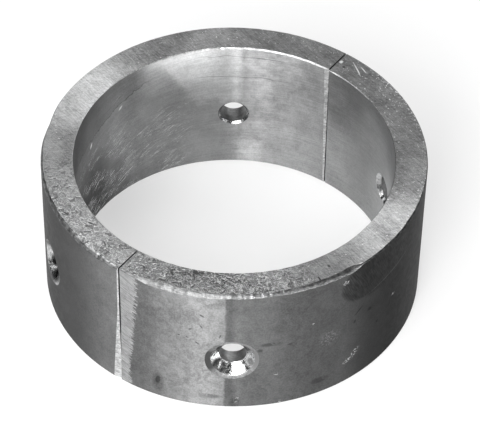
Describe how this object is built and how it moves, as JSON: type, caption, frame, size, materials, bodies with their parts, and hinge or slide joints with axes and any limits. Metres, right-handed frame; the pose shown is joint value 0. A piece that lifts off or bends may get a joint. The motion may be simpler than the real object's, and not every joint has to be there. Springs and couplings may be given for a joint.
{
  "type": "sacrificial anode",
  "caption": "Split collar sacrificial anode: two cast zinc half-rings that close round a shaft housing, with radial countersunk screw holes.",
  "frame": {"origin": "on the bore axis, in the plane of the foot", "axes": "+Z along the bore axis, up from the foot; the parting plane is beside the YZ plane, with one half on +X and the other on -X"},
  "size_m": [0.12, 0.12, 0.05],
  "materials": {
    "zinc": "dull cast zinc, bright where it was cut"
  },
  "bodies": {
    "root": {"right_half": "zinc", "left_half": "zinc"}
  },
  "joints": []
}
